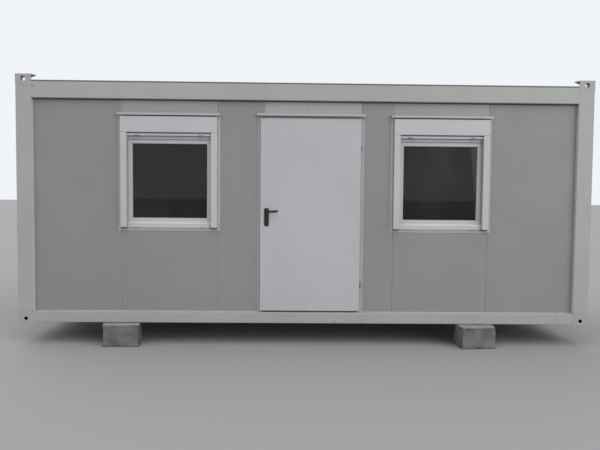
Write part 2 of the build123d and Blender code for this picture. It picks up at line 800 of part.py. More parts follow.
# Edge trim that closes the ribs' ends along the long sides and the cambered gables
with BuildPart() as roof_edge_trim:
    for side in ("front", "back"):
        with BuildSketch(section_plane(side, -clear_half_length)):
            cover = trim_inset + trim_cover
            rise = roof_camber * trim_cover / roof_half_width
            trim_top = top_rail_top + trim_height
            outline([(trim_inset, top_rail_top), (trim_inset, trim_top), (cover, trim_top + rise),
                     (cover, trim_top + rise - trim_sheet),
                     (trim_inset + trim_sheet, trim_top - trim_sheet),
                     (trim_inset + trim_sheet, top_rail_top)])
        extrude(amount=2 * clear_half_length)
    for side in ("left", "right"):
        with BuildSketch(elevation_plane(side, trim_inset + trim_sheet)):
            eaves_rise = roof_camber * (post_width - roof_edge_inset) / roof_half_width
            outline([(-clear_half_width, top_rail_top), (clear_half_width, top_rail_top),
                     (clear_half_width, top_rail_top + trim_height + eaves_rise),
                     (0, top_rail_top + trim_height + roof_camber),
                     (-clear_half_width, top_rail_top + trim_height + eaves_rise)])
        extrude(amount=trim_sheet)
save(roof_edge_trim.part, "roof_edge_trim")


def block_plane(x, reach, yaw, turn):
    """Ground plane of a block that sticks out in front of the rail; the back ones are turned half."""
    angle = math.radians(yaw)
    centre_x = turn * (x - math.sin(angle) * block_depth / 2)
    centre_y = turn * (math.cos(angle) * block_depth / 2 - half_width - reach)
    return Plane(origin=(centre_x, centre_y, 0), x_dir=(math.cos(angle), math.sin(angle), 0),
                 z_dir=(0, 0, 1))


# Concrete blocks under the long rails
with BuildPart() as concrete_blocks:
    for turn in (1, -1):
        for place in ((left_block_x, left_block_reach, left_block_yaw),
                      (right_block_x, right_block_reach, right_block_yaw)):
            with BuildSketch(block_plane(*place, turn)):
                Rectangle(block_width, block_depth)
            extrude(amount=block_height)
    chamfer(concrete_blocks.edges(), block_chamfer)
save(concrete_blocks.part, "concrete_blocks")
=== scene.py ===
import bmesh
import bpy
import math
import numpy as np
from mathutils import Matrix


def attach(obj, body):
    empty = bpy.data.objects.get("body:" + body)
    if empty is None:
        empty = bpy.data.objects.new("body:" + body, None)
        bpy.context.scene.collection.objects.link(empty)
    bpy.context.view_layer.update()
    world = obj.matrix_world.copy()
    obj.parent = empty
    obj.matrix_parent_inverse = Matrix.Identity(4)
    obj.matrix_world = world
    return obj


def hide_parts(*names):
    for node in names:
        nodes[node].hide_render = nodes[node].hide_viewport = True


# Looks of the sanitary container. Lengths are in metres, in the frame of the solids: X runs along the
# container, -Y is the front with the door, Z is up and the ground is at 0.

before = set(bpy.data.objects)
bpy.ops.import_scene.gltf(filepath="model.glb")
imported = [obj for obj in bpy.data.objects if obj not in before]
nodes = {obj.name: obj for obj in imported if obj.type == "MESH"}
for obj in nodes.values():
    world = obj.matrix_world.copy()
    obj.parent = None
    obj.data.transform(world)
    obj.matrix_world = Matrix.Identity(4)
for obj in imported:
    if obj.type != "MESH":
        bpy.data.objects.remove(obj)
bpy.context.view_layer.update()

# Places that the pieces share. A level is measured up from the frame's lower edge, and a depth
# inwards from the frame's outer face.
ground_gap = 0.235
frame_length, frame_width = 6.055, 2.435
half_length, half_width = frame_length / 2, frame_width / 2
post_width = 0.163
wall_depth = 0.045
window_centres = (-1.447, 1.4245)
window_half = 0.505
guide_width = 0.065
sash_half, sash_low, sash_high = 0.437, 1.062, 1.933
sash_level = (sash_low + sash_high) / 2
sash_taller = (sash_high - sash_low) / 2 - sash_half
door_frame_left, door_frame_right = -0.520, 0.612
handle_x, handle_level = -0.4205, 1.185

x_axis, y_axis, z_axis = (1, 0, 0), (0, 1, 0), (0, 0, 1)
# For each side of the frame: the way out, the way along, and half the length between its posts
outwards = {"front": (0, -1, 0), "back": (0, 1, 0), "left": (-1, 0, 0), "right": (1, 0, 0)}
sideways = {"front": (1, 0, 0), "back": (-1, 0, 0), "left": (0, -1, 0), "right": (0, 1, 0)}
clear_half = {"front": half_length - post_width, "back": half_length - post_width,
              "left": half_width - post_width, "right": half_width - post_width}


def side_place(side, along, depth, level):
    """Point of a side: along the wall, inwards from the frame's face, and up from the frame's lower edge."""
    if side == "front":
        return (along, depth - half_width, ground_gap + level)
    if side == "back":
        return (-along, half_width - depth, ground_gap + level)
    if side == "left":
        return (depth - half_length, -along, ground_gap + level)
    return (half_length - depth, along, ground_gap + level)


def front_place(x, depth, level):
    """Point of the front."""
    return side_place("front", x, depth, level)


def beside_windows(offset):
    """The x of four places: left and right of each window's middle by an offset."""
    return [middle + sign * offset for middle in window_centres for sign in (-1, 1)]


# Surfaces worked out as arrays


def placed(mesh, body, finish):
    """Object of a mesh, which rides on a body and wears the given finish."""
    mesh.materials.append(finish)
    mesh.update()
    thing = bpy.data.objects.new(mesh.name, mesh)
    bpy.context.scene.collection.objects.link(thing)
    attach(thing, body)
    return thing


class Shells:
    """Closed skins gathered into one mesh. Each is a grid of points whose faces are made to look outwards."""

    def __init__(self):
        self.points, self.faces, self.count = [], [], 0

    def add(self, grid, wrap_rows=False):
        """Grid of rows by columns by 3. Columns close on themselves. Rows do too where wrap_rows is set,
        and otherwise a fan round the middle of the first and the last row closes each end."""
        grid = np.asarray(grid, float)
        rows, columns = grid.shape[:2]
        index = np.arange(rows * columns).reshape(rows, columns)
        below = index if wrap_rows else index[:-1]
        above = np.roll(index, -1, axis=0) if wrap_rows else index[1:]
        quads = np.stack([below, np.roll(below, -1, axis=1), np.roll(above, -1, axis=1), above], axis=-1)
        faces = [quads.reshape(-1, 4)]
        points = [grid.reshape(-1, 3)]
        if not wrap_rows:
            points.append(np.stack([grid[0].mean(axis=0), grid[-1].mean(axis=0)]))
            total = rows * columns
            first = np.stack([np.roll(index[0], -1), index[0], np.full(columns, total)], axis=-1)
            last = np.stack([index[-1], np.roll(index[-1], -1), np.full(columns, total + 1)], axis=-1)
            faces += [first, last]
        points = np.concatenate(points)
        if self._volume(points, faces) < 0:
            faces = [face[:, ::-1] for face in faces]
        self.faces += [face + self.count for face in faces]
        self.points.append(points)
        self.count += len(points)

    @staticmethod
    def _volume(points, faces):
        """Sum of the corner products of every triangle: positive where the faces look outwards."""
        middle = points.mean(axis=0)
        total = 0.0
        for face in faces:
            corners = points[face] - middle
            for k in range(1, face.shape[1] - 1):
                square = np.cross(corners[:, k], corners[:, k + 1])
                total += np.einsum("ij,ij->i", corners[:, 0], square).sum()
        return total

    def piece(self, name, body, slot, finish, smooth=35.0):
        """Mesh object of all the skins. Edges that turn by more than the smooth angle stay sharp."""
        mesh = bpy.data.meshes.new(name)
        faces = [face for group in self.faces for face in group.tolist()]
        mesh.from_pydata(np.concatenate(self.points).tolist(), [], faces)
        mesh.polygons.foreach_set("use_smooth", np.ones(len(mesh.polygons), bool))
        mesh.set_sharp_from_angle(angle=math.radians(smooth))
        return placed(mesh, body, finish)


def superellipse(width, depth, power, steps):
    """Closed outline: |x/a|^n + |y/b|^n = 1, from the angle's cosine and sine raised to 2/n."""
    turn = np.linspace(0, 2 * np.pi, steps, endpoint=False)
    cosine, sine = np.cos(turn), np.sin(turn)
    reach = 2.0 / power
    return np.stack([width / 2 * np.sign(cosine) * np.abs(cosine) ** reach,
                     depth / 2 * np.sign(sine) * np.abs(sine) ** reach], axis=-1)


def rectangle(width, depth):
    """Closed outline of four corners round the middle."""
    x, y = width / 2, depth / 2
    return [(-x, -y), (x, -y), (x, y), (-x, y)]


def half_round(width, rise, steps=7):
    """Outline of a bead that lies on a surface: a half ellipse, which the outline closes with a flat back."""
    turn = np.linspace(0, np.pi, steps)
    return np.stack([width / 2 * np.cos(turn), rise * np.sin(turn)], axis=-1)


def axes_of(direction):
    """Two unit vectors square to a direction, and the direction itself as a unit vector."""
    direction = np.asarray(direction, float) / np.linalg.norm(direction)
    helper = np.array([0.0, 0.0, 1.0]) if abs(direction[2]) < 0.9 else np.array([1.0, 0.0, 0.0])
    across = np.cross(helper, direction)
    across /= np.linalg.norm(across)
    return across, np.cross(direction, across), direction


def turned(profile, centre, direction, steps):
    """Profile of radius and height turned round an axis: centre + height * axis + radius * (cos, sin)."""
    profile = np.asarray(profile, float)
    across, up, along = axes_of(direction)
    turn = np.linspace(0, 2 * np.pi, steps, endpoint=False)
    circle = np.cos(turn)[:, None] * across + np.sin(turn)[:, None] * up
    return np.asarray(centre) + profile[:, 0, None, None] * circle + profile[:, 1, None, None] * along


def bar(section, start, end, across, up, bevel=0.0):
    """Convex section carried from start to end: point + x * across + y * up. Where it is bevelled, its
    first and last rows are smaller by the bevel and lie that far outside the full rows."""
    section, start, end = np.asarray(section, float), np.asarray(start, float), np.asarray(end, float)
    along = (end - start) / np.linalg.norm(end - start)
    middle = section.mean(axis=0)
    if bevel:
        reach = np.abs(section - middle).max()
        sizes = np.array([1 - bevel / reach, 1.0, 1.0, 1 - bevel / reach])
        places = np.stack([start, start + bevel * along, end - bevel * along, end])
    else:
        sizes, places = np.ones(2), np.stack([start, end])
    shape = middle + sizes[:, None, None] * (section - middle)
    shift_across = shape[..., 0:1] * np.asarray(across, float)
    shift_up = shape[..., 1:2] * np.asarray(up, float)
    return places[:, None] + shift_across + shift_up


def upright_bar(section, x, depth, low, high, bevel=0.0):
    """Bar at the front that stands between two levels."""
    return bar(section, front_place(x, depth, low), front_place(x, depth, high), x_axis, y_axis, bevel)


def level_bar(section, start, end, depth, level, bevel=0.0):
    """Bar at the front that lies along it, between two x."""
    return bar(section, front_place(start, depth, level), front_place(end, depth, level), y_axis, z_axis,
               bevel)


def depth_bar(section, x, level, start, end, bevel=0.0):
    """Bar square to the front, between two depths."""
    return bar(section, front_place(x, start, level), front_place(x, end, level), x_axis, z_axis, bevel)


def ring(centre, half_x, half_z, section):
    """Mitred ring round a rectangle of the front: at each corner the section's first value widens the
    rectangle in both directions, and its second value is the depth."""
    section = np.asarray(section, float)
    corner = np.array([(-1, -1), (1, -1), (1, 1), (-1, 1)], float)
    grid = np.empty((4, len(section), 3))
    grid[..., 0] = centre[0] + corner[:, 0, None] * (half_x + section[None, :, 0])
    grid[..., 1] = centre[1] + section[None, :, 1]
    grid[..., 2] = centre[2] + corner[:, 1, None] * (half_z + section[None, :, 0])
    return grid


def carried(path, section_x, section_y, across, up):
    """Sections set square on a path: point + x * across + y * up, each given per path point."""
    path = np.asarray(path, float)
    return path[:, None] + section_x[..., None] * across[:, None] + section_y[..., None] * up[:, None]


# Numbers without a pattern, from which the lattice draws its fixed values
lattice_steps = np.array([12.9898, 78.233, 37.719])
lattice_seed_step = 4.1414
lattice_spread = 43758.5453


def lattice(points, size, seed):
    """Value noise: a fixed number between 0 and 1 at each corner of a cubic lattice, which is the fraction
    of a large multiple of a sine, blended smoothly between the eight corners round a point."""
    place = np.asarray(points, float) / size
    low = np.floor(place)
    part = place - low
    part = part * part * (3 - 2 * part)
    total = np.zeros(place.shape[:-1])
    for corner in np.ndindex(2, 2, 2):
        cell = low + np.array(corner)
        mixed = np.sin(cell @ lattice_steps + seed * lattice_seed_step) * lattice_spread
        share = np.prod(np.where(np.array(corner) == 1, part, 1 - part), axis=-1)
        total += (mixed - np.floor(mixed)) * share
    return total


# Materials

# Sockets of a Mix node that mixes colours: the share, the two colours and the result
mix_share, mix_first, mix_second, mix_result = 0, 6, 7, 2


class Wire:
    """A shader value. Sums, differences and products of it add Math nodes."""

    def __init__(self, owner, socket):
        self.owner, self.socket = owner, socket

    def _math(self, operation, first, second):
        return self.owner.node("ShaderNodeMath", {"operation": operation}, [first, second])

    def __add__(self, other):
        return self._math("ADD", self, other)

    def __radd__(self, other):
        return self._math("ADD", other, self)

    def __sub__(self, other):
        return self._math("SUBTRACT", self, other)

    def __rsub__(self, other):
        return self._math("SUBTRACT", other, self)

    def __mul__(self, other):
        return self._math("MULTIPLY", self, other)

    def __rmul__(self, other):
        return self._math("MULTIPLY", other, self)


class Nodes:
    """A node tree of a material or of the sky."""

    def __init__(self, tree):
        self.tree = tree

    def node(self, kind, settings, values, output=0):
        """Any node: its settings first, then the values or links of its sockets, by order or by name."""
        node = self.tree.nodes.new(kind)
        for key, value in settings.items():
            setattr(node, key, value)
        pairs = values.items() if isinstance(values, dict) else enumerate(values)
        for key, value in pairs:
            if isinstance(value, Wire):
                self.tree.links.new(value.socket, node.inputs[key])
            else:
                node.inputs[key].default_value = value
        return Wire(self, node.outputs[output])

    def rise(self, value, low, high, start=0.0, end=1.0):
        """Smooth step: from start, where the value is low, to end, where it is high."""
        return self.node("ShaderNodeMapRange", {"interpolation_type": "SMOOTHSTEP"},
                         [value, low, high, start, end])


class Finish(Nodes):
    """A procedural material: one principled shader, fed by nodes that read the object's own coordinates.
    The constants are set on its sockets, and what varies is linked over them."""

    def __init__(self, name, **constants):
        self.material = bpy.data.materials.new(name)
        self.material.use_nodes = True
        super().__init__(self.material.node_tree)
        self.shader = self.tree.nodes["Principled BSDF"]
        for key, value in constants.items():
            self.shader.inputs[key].default_value = value
        self.place = self.node("ShaderNodeTexCoord", {}, [], output="Object")
        self.x, self.z = (self.node("ShaderNodeSeparateXYZ", {}, [self.place], output=axis) for axis in "XZ")

    def noise(self, scale, detail=2.0, stretch=None, roughness=0.5):
        """Noise of about one feature per 1/scale metres, drawn out along the axes with a small stretch."""
        place = self.place
        if stretch:
            place = self.node("ShaderNodeVectorMath", {"operation": "MULTIPLY"}, [place, stretch])
        return self.node("ShaderNodeTexNoise", {}, {"Vector": place, "Scale": scale, "Detail": detail,
                                                    "Roughness": roughness})

    def unsigned(self, value):
        """The value without its sign."""
        return self.node("ShaderNodeMath", {"operation": "ABSOLUTE"}, [value])

    def blend(self, share, first, second):
        """Colour between two colours."""
        first, second = ((*c, 1.0) if isinstance(c, tuple) else c for c in (first, second))
        return self.node("ShaderNodeMix", {"data_type": "RGBA"},
                         {mix_share: share, mix_first: first, mix_second: second}, output=mix_result)

    def feed(self, colour, roughness, metallic=None):
        """Link the shader's colour and roughness, and its metal share where it varies."""
        wires = {"Base Color": colour, "Roughness": roughness, "Metallic": metallic}
        for key, wire in wires.items():
            if wire:
                self.tree.links.new(wire.socket, self.shader.inputs[key])

    def bump(self, height, distance):
        """Fine relief from a height between 0 and 1, of the given distance."""
        relief = self.node("ShaderNodeBump", {}, {"Distance": distance, "Height": height}, output="Normal")
        self.tree.links.new(relief.socket, self.shader.inputs["Normal"])


def linear(red, green, blue):
    """Linear colour of screen values from 0 to 255, by the screen's curve: a straight foot, then a power."""
    shares = np.array([red, green, blue]) / 255.0
    power = ((shares + 0.055) / 1.055) ** 2.4
    return tuple(np.where(shares <= 0.04045, shares / 12.92, power).tolist())


dust = linear(118, 112, 100)
rust = linear(106, 82, 66)
# Grey of the band below the sills: painted shade under the aprons
sill_painted_shade = linear(152, 152, 151)

# Strongest share of dust in the film, the rain streaks and the splashed soil, and of rust near a mark
film_share, streak_share, soil_share, rust_mark_share = 0.10, 0.12, 0.22, 0.55

# Rust marks of the frame: the place and how far each reaches
rust_marks = ((front_place(-2.845, 0, 2.469), 0.050), (front_place(-2.928, 0, 2.455), 0.030),
              (front_place(2.868, 0, 0.117), 0.030), (front_place(-2.868, 0, 0.118), 0.025),
              (side_place("back", -2.93, 0, 2.465), 0.045))


def rust_share(finish, amount):
    """Share of rust: rare specks in patches, and denser specks near the marks."""
    specks = finish.noise(38.0, 5.0, roughness=0.7)
    share = finish.rise(specks, 0.70, 0.75) * finish.rise(finish.noise(1.9), 0.52, 0.66) * amount
    dense_specks = finish.rise(specks, 0.52, 0.58)
    for place, reach in rust_marks:
        away = finish.node("ShaderNodeVectorMath", {"operation": "DISTANCE"}, [finish.place, place],
                           output="Value")
        share = share + (1 - finish.rise(away, reach * 0.4, reach)) * dense_specks * rust_mark_share
    return share


def painted(name, colour, roughness, grain=900.0, relief=0.00015, grime=1.0, rusty=0.0, streaks=1.0,
            extra=None):
    """Painted or coated sheet: orange peel, slow tone changes, rain streaks, dust near the ground, and rust
    specks where it is rusty."""
    finish = Finish(name, Roughness=roughness)
    paler = tuple(min(1.0, share * 1.025) for share in colour)
    darker = tuple(share * 0.965 for share in colour)
    base = finish.blend(finish.rise(finish.noise(1.3, 3.0), 0.35, 0.65), darker, paler)
    # A thin film of dust that fades upwards
    film = (1 - finish.rise(finish.z, 0.2, 2.4)) * (film_share * grime)
    base = finish.blend(film, base, dust)
    # Upright rain streaks
    streak = finish.noise(5.0, 4.0, stretch=(6.0, 6.0, 0.35))
    marks = finish.rise(streak, 0.56, 0.80) * (streak_share * streaks)
    base = finish.blend(marks, base, dust)
    # Splashed soil in patches near the ground
    near_ground = 1 - finish.rise(finish.z + finish.noise(3.0, 4.0) * 0.25, 0.28, 0.95)
    patches = finish.rise(finish.noise(14.0, 6.0, roughness=0.65), 0.35, 0.75)
    soil = near_ground * patches * (soil_share * grime)
    base = finish.blend(soil, base, dust)
    rough = roughness + marks * 0.6 + soil * 0.5
    if rusty:
        share = rust_share(finish, rusty)
        base = finish.blend(finish.rise(share, 0.0, 1.0), base, rust)
        rough = rough + share * 0.4
    if extra:
        base = extra(finish, base)
    finish.feed(base, rough)
    finish.bump(finish.noise(grain) * 0.5 + finish.noise(grain * 0.12) * 0.5, relief)
    return finish.material


def window_joints(finish, base):
    """Mitred corners of the sashes as fine darker lines, where the distance from the sash's middle is as far
    inside its height as inside its width, and a greyer band below the sill, which is painted shade under the
    apron."""
    left, right = (finish.unsigned(finish.x - middle) for middle in window_centres)
    across = finish.node("ShaderNodeMath", {"operation": "MINIMUM"}, [left, right])
    along = finish.unsigned(finish.z - (ground_gap + sash_level))
    off = finish.unsigned(along - across - sash_taller)
    joint_start, joint_end = 0.380, 0.4395
    line = (1 - finish.rise(off, 0.0003, 0.0009)) * finish.rise(across, joint_start, joint_start + 0.001)
    line = line * (1 - finish.rise(across, joint_end, joint_end + 0.0005))
    base = finish.blend(line * 0.45, base, dust)
    # The band below the sill is greyer: painted shade under the apron
    sill_edge = ground_gap + 1.002
    sill_shade = 1 - finish.rise(finish.z, sill_edge - 0.0005, sill_edge + 0.0005)
    return finish.blend(sill_shade * 0.8, base, sill_painted_shade)


frame_paint = painted("frame_paint", linear(158, 158, 155), 0.42, rusty=0.8, grime=0.7)
fitting_paint = painted("fitting_paint", linear(156, 156, 153), 0.46, rusty=1.0, grime=0.8)
panel_paint = painted("panel_paint", linear(132, 132, 129), 0.48, relief=0.0001, grime=0.5)
header_paint = painted("header_paint", linear(156, 156, 155), 0.48, relief=0.0001, grime=0.5)
lintel_paint = painted("lintel_paint", linear(145, 145, 143), 0.48, relief=0.0001, grime=0.5)
door_paint = painted("door_paint", linear(172, 172, 174), 0.40, grain=1400.0, relief=0.00008, grime=0.3,
                     streaks=0.4)
door_frame_paint = painted("door_frame_paint", linear(156, 157, 158), 0.42, relief=0.00008, grime=0.5)
trim_paint = painted("trim_paint", linear(166, 166, 164), 0.44, grime=0.4)
cover_paint = painted("cover_paint", linear(166, 166, 164), 0.44, grime=0.3)
shutter_paint = painted("shutter_paint", linear(177, 177, 179), 0.38, grain=1200.0, relief=0.00006,
                        grime=0.3, streaks=0.5)
window_plastic = painted("window_plastic", linear(178, 178, 180), 0.30, grain=600.0, relief=0.00003,
                         grime=0.2, streaks=0.4, extra=window_joints)
# Paler than the window plastic: a painted highlight on the weather bars' upward slopes
weather_plastic_painted_highlight = painted("weather_plastic_painted_highlight", linear(192, 192, 193), 0.30, relief=0.00003, grime=0.0,
                          streaks=0.0)
ceiling_paint = painted("ceiling_paint", linear(196, 196, 194), 0.5, grime=0.0, streaks=0.0)
roof_trim_paint = painted("roof_trim_paint", linear(92, 99, 104), 0.45, grime=0.0)


def sheet_zinc(name, colour):
    """Galvanised sheet: crystals of two greys from cell noise, dulled by a white bloom in patches."""
    finish = Finish(name, Metallic=0.85, Roughness=0.48)
    crystals = finish.node("ShaderNodeTexVoronoi", {}, {"Vector": finish.place, "Scale": 55.0},
                           output="Color")
    grey = finish.node("ShaderNodeSeparateColor", {}, [crystals])
    bloom = finish.rise(finish.noise(2.2, 5.0), 0.48, 0.72)
    base = finish.blend(grey, tuple(share * 0.78 for share in colour), colour)
    base = finish.blend(bloom * 0.30, base, linear(146, 148, 147))
    finish.feed(base, 0.42 + bloom * 0.18 + grey * 0.08, metallic=0.85 - bloom * 0.30)
    finish.bump(finish.noise(9.0, 3.0), 0.0006)
    return finish.material


zinc = sheet_zinc("galvanised_sheet", linear(150, 154, 156))


def rubber(name, colour, roughness=0.7):
    """Rubber, brush or sealant: matt, with a bloom of dust in patches."""
    finish = Finish(name, Roughness=roughness)
    bloom = finish.rise(finish.noise(22.0, 4.0), 0.45, 0.75)
    finish.feed(finish.blend(bloom * 0.25, colour, dust), roughness + bloom * 0.15)
    finish.bump(finish.noise(1500.0), 0.00008)
    return finish.material


# Black rubber of the seals and gaskets; also painted shade in the drain slots, at the guides' open ends and
# in the gap under the door
rubber_and_painted_shade = rubber("rubber_and_painted_shade", linear(34, 35, 34))
# Dark as painted shade under the top rails
rail_seal_painted_shade = rubber("compressed_seal_painted_shade", linear(84, 84, 76))
grey_seal = rubber("shutter_stop", linear(118, 119, 116), 0.55)
pale_brush = rubber("guide_brush", linear(166, 166, 165))
pale_sealant = rubber("joint_sealant", linear(170, 170, 167), 0.5)
# Pale as a painted highlight on the posts' inner sides
sealant_painted_highlight = rubber("sealant_painted_highlight", linear(186, 186, 183), 0.5)


def moulded_black(name):
    """Black moulded plastic of the handle: fine grain, worn a little smoother in patches."""
    finish = Finish(name, Roughness=0.42)
    worn = finish.rise(finish.noise(30.0, 3.0), 0.4, 0.7)
    finish.feed(finish.blend(worn, linear(13, 13, 14), linear(20, 20, 21)), 0.50 - worn * 0.10)
    finish.bump(finish.noise(2600.0), 0.00006)
    return finish.material


handle_black = moulded_black("handle_plastic")


def bare_steel(name, colour, roughness):
    """Plain steel: brushed along one way, with faint stains."""
    finish = Finish(name, Metallic=1.0, Roughness=roughness)
    lines = finish.noise(140.0, 3.0, stretch=(1.0, 1.0, 9.0))
    stain = finish.rise(finish.noise(60.0, 3.0), 0.5, 0.8)
    base = finish.blend(stain * 0.4, colour, tuple(share * 0.55 for share in colour))
    finish.feed(base, roughness + lines * 0.14 + stain * 0.1)
    finish.bump(lines, 0.00003)
    return finish.material


hinge_steel = bare_steel("hinge_steel", linear(168, 169, 170), 0.36)
screw_steel = bare_steel("screw_steel", linear(150, 150, 148), 0.40)
dark_steel = bare_steel("dark_steel", linear(58, 58, 60), 0.45)


def pane(name):
    """Insulating glass: dark and smooth, see-through in part, with a film of dust in patches."""
    finish = Finish(name, Roughness=0.03, IOR=1.45, Alpha=0.8)
    film = finish.rise(finish.noise(2.5, 5.0, stretch=(1.0, 1.0, 0.5)), 0.45, 0.8)
    finish.feed(finish.blend(film * 0.10, linear(20, 23, 23), dust), 0.02 + film * 0.05)
    return finish.material


window_glass = pane("window_glass")


def deck(name):
    """Floor covering: grey vinyl with fine flecks and scuffs."""
    finish = Finish(name, Roughness=0.5)
    fleck = finish.rise(finish.noise(420.0), 0.52, 0.60)
    scuff = finish.rise(finish.noise(3.0, 6.0, roughness=0.7), 0.5, 0.8)
    base = finish.blend(fleck, linear(112, 112, 110), linear(138, 137, 133))
    base = finish.blend(scuff * 0.3, base, linear(90, 86, 80))
    finish.feed(base, 0.45 + scuff * 0.2)
    finish.bump(fleck, 0.0001)
    return finish.material


floor_vinyl = deck("floor_covering")


def cast_concrete(name):
    """Cast concrete: grey cement with pale stones and dark pores, a painted highlight that makes its top and
    upper edge paler, and a damp darker foot."""
    finish = Finish(name, Roughness=0.88)
    clouds = finish.rise(finish.noise(6.0, 5.0), 0.3, 0.7)
    stones = finish.node("ShaderNodeTexVoronoi", {}, {"Vector": finish.place, "Scale": 95.0},
                         output="Distance")
    pores = finish.rise(finish.noise(170.0, 3.0), 0.63, 0.72)
    # Top face and upper edge paler: a painted highlight
    top_painted_highlight = finish.rise(finish.z + finish.noise(30.0, 3.0) * 0.016, 0.224, 0.238) * 0.55
    damp = (1 - finish.rise(finish.z + finish.noise(18.0, 4.0) * 0.05, 0.02, 0.075)) * 0.45
    base = finish.blend(clouds, linear(84, 84, 82), linear(112, 112, 109))
    base = finish.blend((1 - finish.rise(stones, 0.12, 0.32)) * 0.35, base, linear(150, 147, 140))
    base = finish.blend(pores * 0.7, base, linear(58, 57, 54))
    base = finish.blend(top_painted_highlight, base, linear(158, 157, 153))
    base = finish.blend(damp, base, linear(66, 63, 58))
    finish.feed(base, 0.92 - damp * 0.3)
    grit = finish.noise(60.0, 6.0, roughness=0.65) * 0.6 + (1 - pores) * 0.25
    finish.bump(grit + finish.rise(stones, 0.1, 0.5) * 0.15, 0.004)
    return finish.material


concrete = cast_concrete("cast_concrete")

# Finish of each CAD node: the first key that the node's name starts with holds
node_finish = {
    "front_lintel": lintel_paint, "front_": panel_paint, "door_header": header_paint,
    "back_wall": panel_paint, "left_end": panel_paint, "right_end": panel_paint,
    "corner_post": frame_paint, "top_corner": fitting_paint, "bottom_corner": fitting_paint,
    "top_long": frame_paint, "top_end": frame_paint, "bottom_long": frame_paint, "bottom_end": frame_paint,
    "door_leaf": door_paint, "door_frame": door_frame_paint, "drip_strips": trim_paint,
    "window_frames": window_plastic, "window_sashes": window_plastic, "window_glass": window_glass,
    "shutter_": shutter_paint, "hinge_": hinge_steel, "handle_plates": handle_black,
    "door_lever": handle_black, "floor_cross": zinc, "floor_underside": zinc, "floor_deck": floor_vinyl,
    "ceiling_panel": ceiling_paint, "roof_sheet": zinc, "roof_edge": roof_trim_paint,
    "concrete_blocks": concrete,
}
for name, thing in nodes.items():
    finish = next(value for key, value in node_finish.items() if name.startswith(key))
    thing.data.materials.clear()
    thing.data.materials.append(finish)


# Concrete blocks

block_width, block_depth = 0.365, 0.240
block_edge_radius = 0.006
block_steps = 40
block_seed = 1.7
merge_distance = 1e-5
# Front blocks: the place along the front, the reach before it and the turn in degrees
front_blocks = ((-1.926, 0.105, 4.0), (1.8195, 0.135, 6.0))
# Size and height of the two noises that roughen the faces, and how far the faces lie inside the box
coarse_size, coarse_height = 0.06, 0.006
fine_size, fine_height = 0.013, 0.0032
rough_inset = 0.003
# Chips along the edges and torn lips along the upper and lower edges: the noise's size, the value from
# which it counts, the reach from the edge, and the height
chip_size, chip_start, chip_reach, chip_height = 0.040, 0.56, 0.026, 0.070
lip_size, lip_start, lip_reach, lip_height = 0.055, 0.45, 0.034, 0.052


def rough_block(seed):
    """Six grids of a cube's faces. Each point is pulled to a box with round edges: the nearest point of an
    inner box plus the edge radius along what is left. Two sizes of noise then roughen it, chips are cut where
    a third noise is high near an edge, and torn lips stand out along parts of the upper and lower edges."""
    half = np.array([block_width, block_depth, ground_gap]) / 2
    line = np.sin(np.linspace(-1, 1, block_steps) * np.pi / 2)
    u, v = np.meshgrid(line, line, indexing="ij")
    grids = []
    for axis in range(3):
        for sign in (-1, 1):
            cube = np.empty((block_steps, block_steps, 3))
            cube[..., axis] = sign
            cube[..., (axis + 1) % 3] = u
            cube[..., (axis + 2) % 3] = v
            place = cube * half
            inner = np.clip(place, -(half - block_edge_radius), half - block_edge_radius)
            away = place - inner
            away = away / np.linalg.norm(away, axis=-1, keepdims=True)
            place = inner + block_edge_radius * away
            from_edge = np.sort(half - np.abs(place), axis=-1)[..., 1]
            near_edge = np.clip(1 - from_edge / chip_reach, 0, 1) ** 2
            coarse = lattice(place + seed, coarse_size, seed) - 0.5
            fine = lattice(place + seed, fine_size, seed + 3) - 0.5
            chip = np.clip(lattice(place + 2 * seed, chip_size, seed + 7) - chip_start, 0, 1) * near_edge
            from_level = half[2] - np.abs(place[..., 2])
            near_level = np.clip(1 - from_level / lip_reach, 0, 1)
            lip = near_level * np.clip(lattice(place, lip_size, seed + 11) - lip_start, 0, 1)
            shift = coarse * coarse_height + fine * fine_height - chip * chip_height - rough_inset
            level_away = away * np.array([1.0, 1.0, 0.0])
            place = place + away * shift[..., None] + level_away * (lip * lip_height)[..., None]
            place[..., 2] = np.clip(place[..., 2], -half[2], half[2])
            grids.append(place)
    return grids


def block_mesh(name, places):
    """Blocks as one mesh, each turned by its yaw and moved to its centre. The doubled points along the edges
    of a block's six grids are joined, and all faces are turned outwards."""
    points, faces, count = [], [], 0
    for index, (centre, yaw) in enumerate(places):
        turn = np.array([[math.cos(yaw), -math.sin(yaw), 0], [math.sin(yaw), math.cos(yaw), 0], [0, 0, 1]])
        for grid in rough_block(block_seed + index):
            points.append(grid.reshape(-1, 3) @ turn.T + np.asarray(centre))
            corner = np.arange(block_steps ** 2).reshape(block_steps, block_steps) + count
            quads = np.stack([corner[:-1, :-1], corner[1:, :-1], corner[1:, 1:], corner[:-1, 1:]], axis=-1)
            faces.append(quads.reshape(-1, 4))
            count += block_steps ** 2
    mesh = bpy.data.meshes.new(name)
    mesh.from_pydata(np.concatenate(points).tolist(), [], np.concatenate(faces).tolist())
    work = bmesh.new()
    work.from_mesh(mesh)
    bmesh.ops.remove_doubles(work, verts=work.verts, dist=merge_distance)
    bmesh.ops.recalc_face_normals(work, faces=work.faces)
    work.to_mesh(mesh)
    work.free()
    mesh.polygons.foreach_set("use_smooth", np.ones(len(mesh.polygons), bool))
    return mesh


